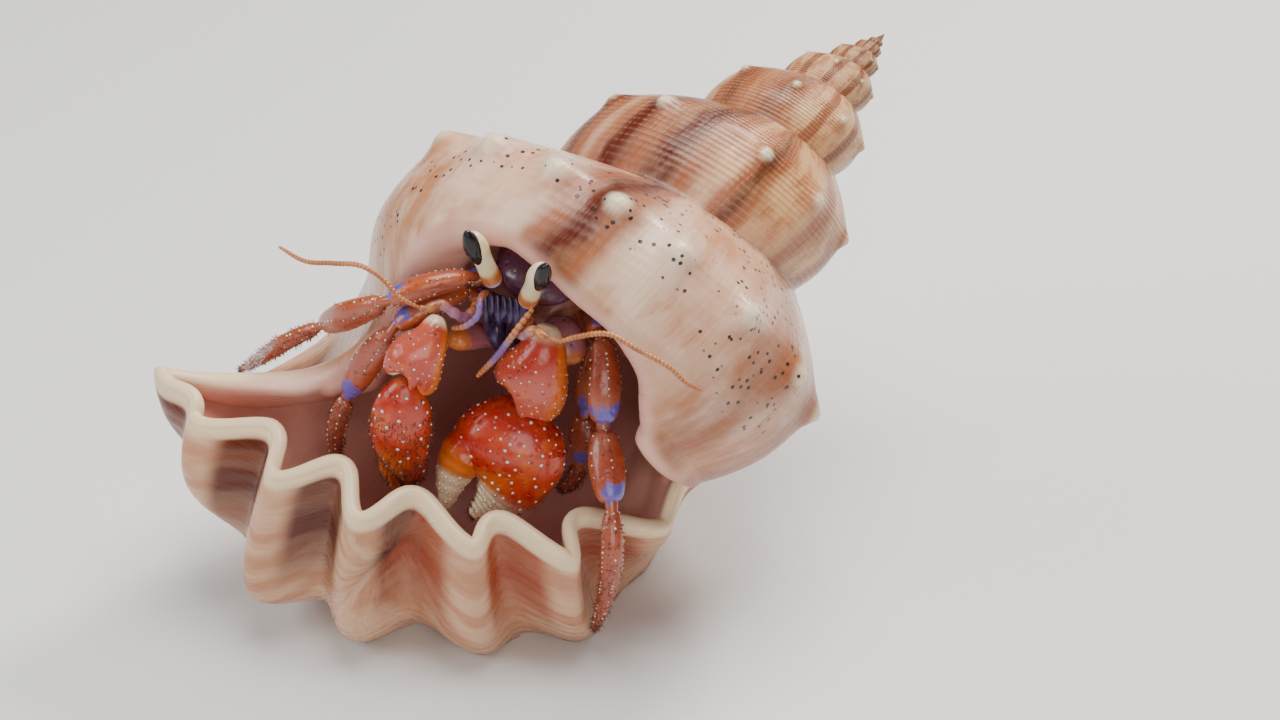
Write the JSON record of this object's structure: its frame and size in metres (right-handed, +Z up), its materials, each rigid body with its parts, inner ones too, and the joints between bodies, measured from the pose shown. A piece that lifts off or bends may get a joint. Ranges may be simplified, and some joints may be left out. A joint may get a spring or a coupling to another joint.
{
  "type": "hermit crab in a sea snail shell",
  "caption": "Hermit crab looking out of a tall spiral sea shell with a fluted lip, standing still on its bowl.",
  "frame": {"origin": "middle of the whole object's box, on the floor it stands on", "axes": "+Z up; the crab looks out toward -Y; the shell's point rises toward +X and +Y; the crab's large left claw is on the +X side"},
  "size_m": [0.092, 0.0614, 0.0635],
  "materials": {
    "shell": "hard shell, satin with wet shine",
    "crab_orange": "hard skin, satin",
    "claw_red": "granular hard skin, satin",
    "claw_cream": "horny, dull",
    "soft_mauve": "soft skin, damp",
    "stalk_cream": "smooth, satin",
    "eye_black": "glossy",
    "tail_buff": "soft skin, damp"
  },
  "bodies": {
    "root": {"abdomen": "tail_buff", "claw_left_arm": "crab_orange", "claw_left_finger": "claw_cream", "claw_left_hand": "claw_red", "claw_left_wrist": "crab_orange", "claw_right_arm": "crab_orange", "claw_right_finger": "claw_cream", "claw_right_hand": "claw_red", "claw_right_wrist": "crab_orange", "eye_left": "eye_black", "eye_right": "eye_black", "eyestalk_left": "stalk_cream", "eyestalk_right": "stalk_cream", "feeler_base_left": "crab_orange", "feeler_base_right": "crab_orange", "feeler_left": "crab_orange", "feeler_right": "crab_orange", "leg_fifth_left": "crab_orange", "leg_fifth_right": "crab_orange", "leg_fourth_left": "crab_orange", "leg_fourth_right": "crab_orange", "leg_front_left_carpus": "crab_orange", "leg_front_left_dactyl": "crab_orange", "leg_front_left_merus": "crab_orange", "leg_front_left_propodus": "crab_orange", "leg_front_right_carpus": "crab_orange", "leg_front_right_dactyl": "crab_orange", "leg_front_right_merus": "crab_orange", "leg_front_right_propodus": "crab_orange", "leg_hind_left_carpus": "crab_orange", "leg_hind_left_dactyl": "crab_orange", "leg_hind_left_merus": "crab_orange", "leg_hind_left_propodus": "crab_orange", "leg_hind_right_carpus": "crab_orange", "leg_hind_right_dactyl": "crab_orange", "leg_hind_right_merus": "crab_orange", "leg_hind_right_propodus": "crab_orange", "mouth_leg_left": "soft_mauve", "mouth_leg_right": "soft_mauve", "shell": "shell", "shield": "soft_mauve", "small_feeler_left": "crab_orange", "small_feeler_right": "crab_orange", "thorax": "crab_orange"}
  },
  "joints": []
}
